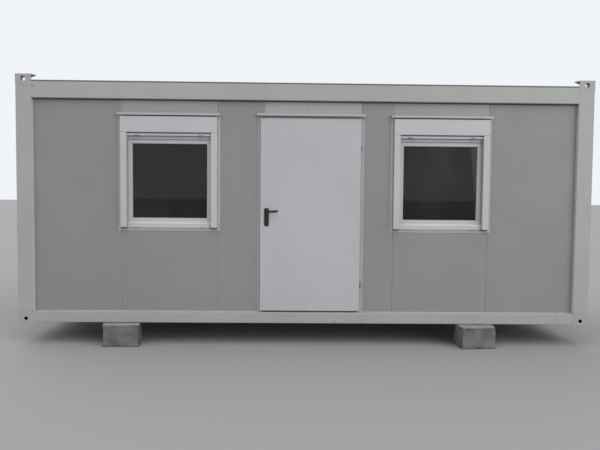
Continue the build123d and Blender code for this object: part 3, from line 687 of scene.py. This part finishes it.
# The back blocks stand where half a turn about the container's middle takes the front ones
block_places = []
for turn in (1, -1):
    for x, reach, degrees in front_blocks:
        yaw = math.radians(degrees)
        centre_x = turn * (x - math.sin(yaw) * block_depth / 2)
        centre_y = turn * (math.cos(yaw) * block_depth / 2 - half_width - reach)
        block_places.append(((centre_x, centre_y, ground_gap / 2), yaw))
rough_blocks = placed(block_mesh("rough_blocks", block_places), "container", concrete)
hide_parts("concrete_blocks")


# Steel frame: welds

weld_width, weld_rise, weld_sink = 0.007, 0.0022, 0.0006
weld_step, weld_pitch, weld_wave = 0.0035, 0.0045, 0.16
weld_noise, weld_noise_size, weld_end_size = 0.2, 0.02, 0.02
post_weld_levels = (0.115, 2.481)
post_weld_inset = 0.010
rail_weld_levels = ((0.006, 0.108), (2.353, 2.507))


def weld(start, end, outward):
    """Weld bead: a half ellipse carried along a line. Its size is 1 plus a sine wave of the length plus
    noise, and at both ends it shrinks as the root of 1 - t^12, where t runs from -1 to 1."""
    start, end, outward = np.asarray(start, float), np.asarray(end, float), np.asarray(outward, float)
    length = np.linalg.norm(end - start)
    steps = int(length / weld_step)
    share = np.linspace(0, 1, steps)
    path = start + share[:, None] * (end - start)
    wave = weld_wave * np.sin(share * length / weld_pitch * 2 * np.pi)
    ripple = 1 + wave + weld_noise * (lattice(path, weld_noise_size, seed=5) - 0.5)
    ends = np.sqrt(np.clip(1 - (2 * share - 1) ** 12, weld_end_size, 1))
    size = (ripple * ends)[:, None]
    across = np.cross((end - start) / length, outward)
    outline = half_round(weld_width, weld_rise)
    return carried(path, size * outline[:, 0], size * outline[:, 1] - weld_sink,
                   np.tile(across, (steps, 1)), np.tile(outward, (steps, 1)))


# Level beads between the posts and their fittings, and upright beads between the rails and the corners
welds = Shells()
for side, out in outwards.items():
    for sign in (-1, 1):
        inner = sign * clear_half[side]
        outer = inner + sign * (post_width - post_weld_inset)
        for level in post_weld_levels:
            welds.add(weld(side_place(side, outer, 0, level), side_place(side, inner, 0, level), out))
        for low, high in rail_weld_levels:
            welds.add(weld(side_place(side, inner, 0, low), side_place(side, inner, 0, high), out))
welds.piece("frame_welds", "container", "frame_paint", fitting_paint, smooth=60)


# Seals between the steel frame and the walls

seal_end_gap = 0.0005
top_seal_width, top_seal_rise, top_seal_level = 0.0105, 0.0085, 2.3405
foot_seal_width, foot_seal_rise, foot_seal_level = 0.008, 0.0022, 0.1175


def wall_bead(side, start, end, level, section):
    """Bead that lies on the wall of a side, level from start to end."""
    return bar(section, side_place(side, start, wall_depth, level), side_place(side, end, wall_depth, level),
               z_axis, outwards[side])


# Beads on the walls under the top rails, dark as painted shade under the rails
rail_seals = Shells()
for side in outwards:
    half = clear_half[side] - seal_end_gap
    rail_seals.add(wall_bead(side, -half, half, top_seal_level, half_round(top_seal_width, top_seal_rise)))
rail_seals.piece("top_rail_seals", "container", "handle_plastic", rail_seal_painted_shade)

# On the front, the sealant at the walls' foot stops at the door frame
wall_sealant = Shells()
for side in outwards:
    half = clear_half[side] - seal_end_gap
    spans = [(-half, door_frame_left), (door_frame_right, half)] if side == "front" else [(-half, half)]
    for start, end in spans:
        wall_sealant.add(wall_bead(side, start, end, foot_seal_level,
                                   half_round(foot_seal_width, foot_seal_rise)))
wall_sealant.piece("wall_foot_sealant", "container", "frame_paint", pale_sealant)

# Pale sealing strips that cover the posts' inner sides, from just behind the posts' faces to the walls; their
# paleness is a painted highlight on those sides
strip_low, strip_high = 0.1165, 2.3450
strip_section = [(-0.0004, 0.0035), (0.0010, 0.0035), (0.0016, 0.0050), (0.0016, wall_depth + 0.0005),
                 (-0.0004, wall_depth + 0.0005)]
post_strips = Shells()
for side in outwards:
    for sign in (-1, 1):
        post_side = sign * clear_half[side]
        post_strips.add(bar(strip_section, side_place(side, post_side, 0, strip_low),
                            side_place(side, post_side, 0, strip_high),
                            -sign * np.array(sideways[side]), -np.array(outwards[side])))
post_strips.piece("post_edge_strips", "container", "frame_paint", sealant_painted_highlight)


# Windows

# Weather bars on the aprons, paler than the window plastic as a painted highlight on their slopes: the
# section is given as depth and level
weather_bar_half = 0.4385
weather_bar_section = [(0.0345, 1.0490), (0.0350, 1.0475), (0.0612, 1.0570), (0.0612, 1.0655),
                       (0.0590, 1.0655)]
weather_bars = Shells()
for middle in window_centres:
    weather_bars.add(level_bar(weather_bar_section, middle - weather_bar_half, middle + weather_bar_half,
                               depth=0, level=0))
weather_bars.piece("apron_weather_bars", "container", "window_plastic", weather_plastic_painted_highlight)

# Cover strips over the panel joints beside the windows
cover_offset = 0.0155
cover_low, cover_high = 0.9745, 2.1805
cover_section = [(-0.0150, 0.0), (0.0150, 0.0), (0.0142, 0.0032), (-0.0142, 0.0032)]
covers = Shells()
for x in beside_windows(window_half + cover_offset):
    covers.add(bar(cover_section, front_place(x, wall_depth, cover_low),
                   front_place(x, wall_depth, cover_high), x_axis, outwards["front"]))
covers.piece("window_cover_strips", "container", "trim_paint", cover_paint)

# Gaskets between the panes and the sashes
glass_inset = 0.047
glass_front = 0.080
glass_half = sash_half - glass_inset
gasket_section = [(-0.004, -0.0004), (-0.0032, -0.0026), (-0.0008, -0.0036), (0.0022, -0.003),
                  (0.0022, -0.0004)]
gaskets = Shells()
for middle in window_centres:
    gaskets.add(ring(front_place(middle, glass_front, sash_level), glass_half, glass_half + sash_taller,
                     gasket_section), wrap_rows=True)
gaskets.piece("glazing_gaskets", "container", "handle_plastic", rubber_and_painted_shade)

# Seals in the gap between the sashes and their frames
sash_seal_front = 0.068
sash_seal_section = [(0.0003, 0.0), (0.0027, 0.0), (0.0027, 0.012), (0.0003, 0.012)]
sash_seals = Shells()
for middle in window_centres:
    sash_seals.add(ring(front_place(middle, sash_seal_front, sash_level), sash_half, sash_half + sash_taller,
                        sash_seal_section), wrap_rows=True)
sash_seals.piece("sash_seals", "container", "window_plastic", grey_seal)

# Brush seals along both lips of the guides' grooves
brush_width = 0.0024
brush_section = superellipse(brush_width, 0.0022, power=2.4, steps=8)
brush_depths = (0.0155, 0.0325)
brush_low, brush_high = 1.012, 1.998
brushes = Shells()
for x in beside_windows(window_half - guide_width - brush_width / 2):
    for depth in brush_depths:
        brushes.add(upright_bar(brush_section, x, depth, brush_low, brush_high))
brushes.piece("guide_brush_seals", "container", "window_plastic", pale_brush)

# End caps under the guides, black as painted shade for the guides' open ends
cap_section = superellipse(0.0630, 0.0430, power=9, steps=28)
cap_depth = 0.0250
cap_low, cap_high = 1.0018, 1.0101
end_caps = Shells()
for x in beside_windows(window_half - guide_width / 2):
    end_caps.add(upright_bar(cap_section, x, cap_depth, cap_low, cap_high, bevel=0.001))
end_caps.piece("guide_end_caps", "container", "handle_plastic", rubber_and_painted_shade)

# Shutter stops: a block and a round buffer on the bottom slat, near each of its ends
stop_offset = 0.335
stop_section = superellipse(0.052, 0.010, power=6, steps=20)
stop_depth = 0.0175
stop_low, stop_high = 1.9645, 1.9790
buffer_front, buffer_level = 0.0128, 1.9700
buffer_profile = [(0.0105, 0.0), (0.0105, 0.0035), (0.0090, 0.0052), (0.0030, 0.0060)]
stops = Shells()
for x in beside_windows(stop_offset):
    stops.add(upright_bar(stop_section, x, stop_depth, stop_low, stop_high, bevel=0.0015))
    stops.add(turned(buffer_profile, front_place(x, buffer_front, buffer_level), outwards["front"], steps=18))
stops.piece("shutter_stops", "container", "window_plastic", grey_seal)

# Drain caps on the frames' aprons, and dark slots in the sills' grooves below them: their black is painted
# shade for the drain openings
drain_offset = 0.345
drain_section = superellipse(0.058, 0.0085, power=3.5, steps=28)
drain_level = 1.0125
drain_back, drain_front = 0.0352, 0.0305
drains = Shells()
for x in beside_windows(drain_offset):
    drains.add(depth_bar(drain_section, x, drain_level, drain_back, drain_front, bevel=0.0012))
drains.piece("frame_drain_caps", "container", "window_plastic", window_plastic)

slot_section = rectangle(0.060, 0.0036)
slot_level = 1.0031
slot_back, slot_front = 0.0478, 0.0395
drain_slots = Shells()
for x in beside_windows(drain_offset):
    drain_slots.add(depth_bar(slot_section, x, slot_level, slot_back, slot_front))
drain_slots.piece("frame_drain_slots", "container", "handle_plastic", rubber_and_painted_shade)

# Screws on the guides
guide_screw_levels = (1.16, 1.50, 1.84)
guide_screw_offset, guide_screw_depth = 0.004, 0.0019
guide_screw_profile = [(0.0062, 0.0), (0.0062, 0.0008), (0.0050, 0.0020), (0.0022, 0.0027), (0.0020, 0.0012)]
guide_screws = Shells()
for x in beside_windows(window_half - guide_width / 2 + guide_screw_offset):
    for level in guide_screw_levels:
        guide_screws.add(turned(guide_screw_profile, front_place(x, guide_screw_depth, level),
                                outwards["front"], steps=14))
guide_screws.piece("guide_screws", "container", "hinge_steel", shutter_paint)


# Door

# Seals in the rebate of the door frame: two uprights and a level one between them
reveal_left, reveal_right = -0.4745, 0.5565
reveal_low, reveal_high = 0.121, 2.150
door_seal_depth, door_seal_inset, door_seal_gap = 0.0735, 0.0075, 0.004
door_seal_section = superellipse(0.009, 0.007, power=2.5, steps=12)
door_seals = Shells()
for x in (reveal_left + door_seal_inset, reveal_right - door_seal_inset):
    door_seals.add(upright_bar(door_seal_section, x, door_seal_depth, reveal_low,
                               reveal_high - door_seal_gap))
seal_top = reveal_high - door_seal_inset
door_seals.add(bar(door_seal_section, front_place(reveal_left + door_seal_gap, door_seal_depth, seal_top),
                   front_place(reveal_right - door_seal_gap, door_seal_depth, seal_top), z_axis, y_axis))
door_seals.piece("door_seals", "container", "handle_plastic", rubber_and_painted_shade)

# Sweep under the leaf, whose black is also painted shade for the gap under it: the section is given as depth
# and level
sweep_left, sweep_right = -0.466, 0.549
sweep_section = [(0.022, 0.1330), (0.022, 0.1235), (0.026, 0.1225), (0.040, 0.1255), (0.040, 0.1330)]
sweep = Shells()
sweep.add(level_bar(sweep_section, sweep_left, sweep_right, depth=0, level=0))
sweep.piece("door_sweep", "door", "handle_plastic", rubber_and_painted_shade)

# Domed caps on both ends of the hinges' knuckles
hinge_x, hinge_depth = 0.582, 0.020
hinge_levels = (0.418, 1.867)
knuckle_half = 0.0255
dome = [(0.0084, 0.0), (0.0084, 0.0006), (0.0078, 0.0022), (0.0060, 0.0036), (0.0030, 0.0043)]
for name, body, sign in (("hinge_lower_caps", "container", -1), ("hinge_upper_caps", "door", 1)):
    caps = Shells()
    for level in hinge_levels:
        place = front_place(hinge_x, hinge_depth, level + sign * knuckle_half)
        caps.add(turned(dome, place, (0, 0, sign), steps=20))
    caps.piece(name, body, "hinge_steel", hinge_steel)

# On the leaf's outer face (-1) and its inner face (1): the depth of the plate's back, and the depth where
# the lever starts
plate_depths = {-1: 0.018, 1: 0.068}
lever_depths = {-1: 0.010, 1: 0.076}

# Lever: the neck's length, the corner's radius, the lengths of the arm and its rounded tip, the section's
# sizes, how deep it starts in the plate and how far its end is lifted, and where the neck turns flat
neck_length, corner_radius, arm_length, tip_length = 0.028, 0.018, 0.104, 0.010
neck_thickness, arm_thickness, arm_height = 0.0160, 0.0108, 0.0236
lever_sink, lever_lift = 0.004, 0.006
flat_start, flat_length = 0.0168, 0.030


def lever_arm(sign, start_depth):
    """Lever: an oval section carried along a path that leaves the leaf straight, turns through a quarter
    circle and runs along the door. The neck is round; the arm is tall and flat, and its end is rounded."""
    quarter = corner_radius * np.pi / 2
    arm_start = neck_length + quarter
    tip_steps = 1 - np.sin(np.linspace(0, np.pi / 2, 12)[1:])
    lengths = np.concatenate([np.linspace(0, neck_length, 6),
                              neck_length + np.linspace(0, quarter, 14)[1:],
                              arm_start + np.linspace(0, arm_length - tip_length, 22)[1:],
                              arm_start + arm_length - tip_length * tip_steps])
    turn = np.clip((lengths - neck_length) / corner_radius, 0, np.pi / 2)
    run = np.clip(lengths - arm_start, 0, None)
    out = np.minimum(lengths, neck_length) + corner_radius * np.sin(turn) - lever_sink
    along = corner_radius * (1 - np.cos(turn)) + run
    lift = lever_lift * np.clip(run / arm_length, 0, 1) ** 1.5
    path = np.stack([along, sign * out, lift], axis=-1) + front_place(handle_x, start_depth, handle_level)
    direction = np.stack([np.sin(turn), sign * np.cos(turn), np.zeros_like(turn)], axis=-1)
    up = np.tile([0.0, 0.0, 1.0], (len(lengths), 1))
    flat = np.clip((lengths - flat_start) / flat_length, 0, 1)
    flat = flat * flat * (3 - 2 * flat)
    tip = np.clip((run - (arm_length - tip_length)) / tip_length, 0, 1)
    ending = np.sqrt(np.clip(1 - tip ** 2, 0.0025, 1))
    wide = (neck_thickness + flat * (arm_thickness - neck_thickness)) * ending
    tall = (neck_thickness + flat * (arm_height - neck_thickness)) * ending
    oval = superellipse(1.0, 1.0, power=2.6, steps=28)
    return carried(path, wide[:, None] * oval[:, 0], tall[:, None] * oval[:, 1],
                   np.cross(direction, up), up)


# Levers on both faces, joined by their spindle
spindle_radius, spindle_start, spindle_length = 0.0075, 0.011, 0.064
lever = Shells()
for sign, depth in lever_depths.items():
    lever.add(lever_arm(sign, depth))
lever.add(turned([(spindle_radius, 0.0), (spindle_radius, spindle_length)],
                 front_place(handle_x, spindle_start, handle_level), y_axis, steps=20))
lever_piece = lever.piece("lever_handles", "lever", "handle_plastic", handle_black, smooth=50)
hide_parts("door_lever")

# Back plates: how far the rounded edge is drawn in at each height, and the shares of the flat middle
plate_width, plate_height, plate_level, plate_rise = 0.050, 0.190, 1.126, 0.0080
plate_edge = ((0.0, 0.0), (0.0, 0.0045), (0.000375, 0.0062), (0.00125, 0.0074), (0.0025, 0.0079))
plate_middle = (0.5, 0.05)


def plate_skin(sign, plate_depth):
    """Back plate: rows of one superellipse, each at its height over the leaf. It is drawn in by the same
    length all round at the edge, and by a share of its size in the middle."""
    outline = superellipse(plate_width, plate_height, power=9, steps=64)
    half = np.array([plate_width, plate_height]) / 2
    rows = [(1 - inset / half, rise) for inset, rise in plate_edge]
    rows += [(share, plate_rise) for share in plate_middle]
    grid = np.zeros((len(rows), len(outline), 3))
    for row, (size, rise) in enumerate(rows):
        grid[row, :, 0::2] = outline * size
        grid[row, :, 1] = sign * rise
    return grid + front_place(handle_x, plate_depth, plate_level)


# Plates with the lever's rose, their screws and the lock cylinder, on both faces
rose_profile = [(0.0135, 0.0070), (0.0135, 0.0092), (0.0124, 0.0104), (0.0090, 0.0106)]
plate_screw_levels = (1.2115, 1.0405)
plate_screw_profile = [(0.0046, 0.0076), (0.0046, 0.0086), (0.0036, 0.0096), (0.0016, 0.0097),
                       (0.0015, 0.0086)]
lock_level = handle_level - 0.072
lock_profile = [(0.0085, 0.0076), (0.0085, 0.0102), (0.0078, 0.0108), (0.0010, 0.0108)]
lock_web_section = superellipse(0.0098, 0.0200, power=4, steps=20)
lock_web_level = lock_level - 0.012
lock_web_back, lock_web_front = 0.0076, 0.0106
plates, plate_screws, lock_parts = Shells(), Shells(), Shells()
for sign, depth in plate_depths.items():
    away = (0, sign, 0)
    plates.add(plate_skin(sign, depth))
    plates.add(turned(rose_profile, front_place(handle_x, depth, handle_level), away, steps=28))
    for level in plate_screw_levels:
        plate_screws.add(turned(plate_screw_profile, front_place(handle_x, depth, level), away, steps=16))
    lock_parts.add(turned(lock_profile, front_place(handle_x, depth, lock_level), away, steps=28))
    lock_parts.add(depth_bar(lock_web_section, handle_x, lock_web_level, depth + sign * lock_web_back,
                             depth + sign * lock_web_front, bevel=0.0006))
plates_piece = plates.piece("handle_backplates", "door", "handle_plastic", handle_black, smooth=40)
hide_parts("handle_plates")
plate_screws.piece("handle_screws", "door", "handle_plastic", dark_steel)
lock_parts.piece("lock_cylinders", "door", "hinge_steel", dark_steel)

# Latch plate on the leaf's edge, with the latch in it
leaf_edge = -0.4665
latch_depth = 0.054
latch_plate_section = superellipse(0.020, 0.235, power=12, steps=24)
latch_plate_level = handle_level - 0.045
latch_plate_back, latch_plate_front = 0.0008, 0.0018
latch_section = rectangle(0.011, 0.026)
latch_reach = 0.0055
latch = Shells()
latch.add(level_bar(latch_plate_section, leaf_edge + latch_plate_back, leaf_edge - latch_plate_front,
                    latch_depth, latch_plate_level, bevel=0.0006))
latch.add(level_bar(latch_section, leaf_edge, leaf_edge - latch_reach, latch_depth, handle_level,
                    bevel=0.0012))
latch.piece("latch_plate", "door", "hinge_steel", screw_steel)


# Roof fasteners: washers and hexagon heads beside the ribs, near the sheet's edges and its middle

roof_level, roof_rise, roof_edge = 2.514, 0.025, 0.012
rib_pitch, rib_count = 0.250, 24
rib_clearance = 0.06
screw_shift = 0.06
screw_insets = (0.075, half_width - 0.10)
screw_seat = 0.0015
washer_profile = [(0.009, -0.0003), (0.009, 0.0009), (0.0078, 0.0015), (0.006, 0.0016)]
head_profile = [(0.0046, 0.0012), (0.0046, 0.0052), (0.0040, 0.0060)]
ribs = (np.arange(rib_count) - (rib_count - 1) / 2) * rib_pitch
sheet_half = half_width - roof_edge
roof_screws = Shells()
for x in ribs[np.abs(ribs) < half_length - post_width - rib_clearance]:
    for sign in (-1, 1):
        for inset in screw_insets:
            y = sign * (half_width - inset)
            rise = roof_rise * (sheet_half - abs(y)) / sheet_half
            place = (x + screw_shift, y, ground_gap + roof_level + screw_seat + rise)
            roof_screws.add(turned(washer_profile, place, z_axis, steps=12))
            roof_screws.add(turned(head_profile, place, z_axis, steps=6))
roof_screws.piece("roof_screws", "container", "galvanised_sheet", screw_steel)


# Camera

focal_pixels, image_width = 586.6, 600
sensor_width = 36.0
camera_x, camera_distance, camera_level = -0.177, 6.177, 1.334
camera_yaw, camera_pitch, camera_roll = -1.024, -2.663, -0.521


def rotation(yaw, pitch, roll):
    """Turn about Y by the roll, then about X by the pitch, then about Z by the yaw, in degrees."""
    return (Matrix.Rotation(math.radians(yaw), 3, "Z") @ Matrix.Rotation(math.radians(pitch), 3, "X")
            @ Matrix.Rotation(math.radians(roll), 3, "Y"))


camera_data = bpy.data.cameras.new("camera")
camera_data.sensor_width = sensor_width
camera_data.lens = focal_pixels / image_width * sensor_width
camera_data.clip_end = 200.0
camera = bpy.data.objects.new("camera", camera_data)
turn = rotation(camera_yaw, camera_pitch, camera_roll)
right, ahead, up = turn.col[0], turn.col[1], turn.col[2]
place = front_place(camera_x, -camera_distance, camera_level)
camera.matrix_world = Matrix([[right[i], up[i], -ahead[i], place[i]] for i in range(3)] + [[0, 0, 0, 1]])
bpy.context.scene.collection.objects.link(camera)
bpy.context.scene.camera = camera


# Sky: dim and even, with four broad bright parts

sky_strength = 0.21
sky_colour = (0.96, 0.98, 1.0, 1.0)
backdrop_colour = (0.88, 0.90, 0.94, 1.0)
# Direction and strength of each bright part, and the angles from its middle where it starts and is full
bright_parts = (((0.70, -0.62, 0.36), 1.82, 44, 12), ((-0.71, -0.50, 0.50), 0.49, 55, 16),
                ((0.0, -0.36, 0.93), 1.12, 70, 20), ((-0.45, 0.85, 0.45), 1.30, 60, 20))

world = bpy.data.worlds.new("soft_sky")
bpy.context.scene.world = world
world.use_nodes = True
world.node_tree.nodes.remove(world.node_tree.nodes["Background"])
sky = Nodes(world.node_tree)
direction = sky.node("ShaderNodeTexCoord", {}, [], output="Generated")
strength = sky_strength
for towards, bright, start, full in bright_parts:
    towards = tuple(axes_of(towards)[2].tolist())
    facing = sky.node("ShaderNodeVectorMath", {"operation": "DOT_PRODUCT"}, [direction, towards],
                      output="Value")
    strength = strength + sky.rise(facing, math.cos(math.radians(start)), math.cos(math.radians(full)),
                                   0.0, bright)
light = sky.node("ShaderNodeBackground", {}, {"Color": sky_colour, "Strength": strength})

# The pale backdrop is what camera rays, mirrored rays and transmitted rays see
backdrop = sky.node("ShaderNodeBackground", {}, {"Color": backdrop_colour, "Strength": 1.0})
seen = sky.node("ShaderNodeLightPath", {}, [], output="Is Camera Ray")
for kind in ("Is Glossy Ray", "Is Transmission Ray"):
    ray = sky.node("ShaderNodeLightPath", {}, [], output=kind)
    seen = sky.node("ShaderNodeMath", {"operation": "MAXIMUM"}, [seen, ray])
shown = sky.node("ShaderNodeMixShader", {}, [seen, light, backdrop])
sky.tree.links.new(shown.socket, sky.tree.nodes["World Output"].inputs["Surface"])


# Lamp and floor


def lamp(name, place, target, size, watts, colour):
    """Square area lamp that looks at a point."""
    data = bpy.data.lights.new(name, "AREA")
    data.shape, data.size, data.energy, data.color = "SQUARE", size, watts, colour
    thing = bpy.data.objects.new(name, data)
    across, rise, along = axes_of(np.asarray(place, float) - np.asarray(target, float))
    thing.matrix_world = Matrix([[across[i], rise[i], along[i], place[i]] for i in range(3)] + [[0, 0, 0, 1]])
    bpy.context.scene.collection.objects.link(thing)


lamp("right_lamp", place=(7.0, -9.0, 4.5), target=(1.5, -1.2, 1.4), size=6.0, watts=110,
     colour=(0.97, 0.98, 1.0))

floor_reach = 400
floor_finish = Finish("studio_floor", Roughness=0.85)
floor_finish.shader.inputs["Base Color"].default_value = (*linear(144, 144, 143), 1.0)
floor_corners = [(-floor_reach, -floor_reach, 0), (floor_reach, -floor_reach, 0),
                 (floor_reach, floor_reach, 0), (-floor_reach, floor_reach, 0)]
floor_mesh = bpy.data.meshes.new("studio_floor")
floor_mesh.from_pydata(floor_corners, [], [(0, 1, 2, 3)])
floor_mesh.materials.append(floor_finish.material)
floor = bpy.data.objects.new("studio_floor", floor_mesh)
bpy.context.scene.collection.objects.link(floor)

bpy.context.scene.view_settings.view_transform = "Standard"
